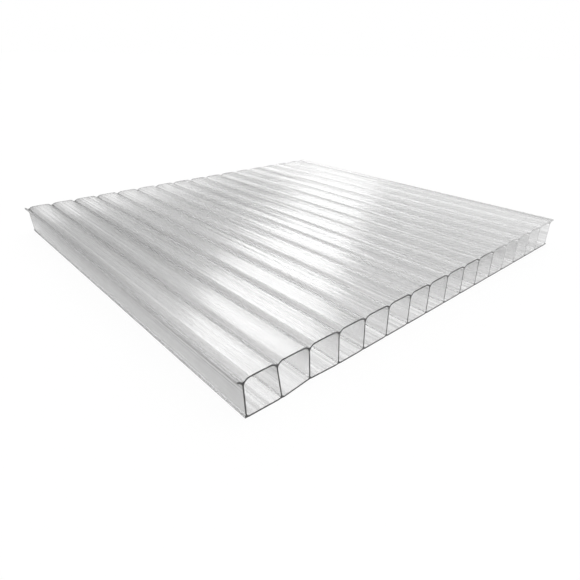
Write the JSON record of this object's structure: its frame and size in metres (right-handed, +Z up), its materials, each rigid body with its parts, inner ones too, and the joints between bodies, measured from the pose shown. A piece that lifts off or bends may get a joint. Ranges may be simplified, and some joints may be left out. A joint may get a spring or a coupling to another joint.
{
  "type": "multiwall polycarbonate sheet",
  "caption": "Offcut of clear twin-wall plastic glazing sheet: thin upper and lower skins joined by upright ribs, with open flutes along its length and grooves over the ribs.",
  "frame": {"origin": "middle of the footprint, on the plane that the sheet lies on", "axes": "+X across the ribs, towards the side with the longer stubs of skin; +Y along the flutes; +Z up through the sheet"},
  "size_m": [0.158, 0.152, 0.0108],
  "materials": {
    "clear_polycarbonate": "clear, glossy, faint lines along the flutes, sawn edges"
  },
  "bodies": {
    "root": {"twinwall_sheet": "clear_polycarbonate"}
  },
  "joints": []
}
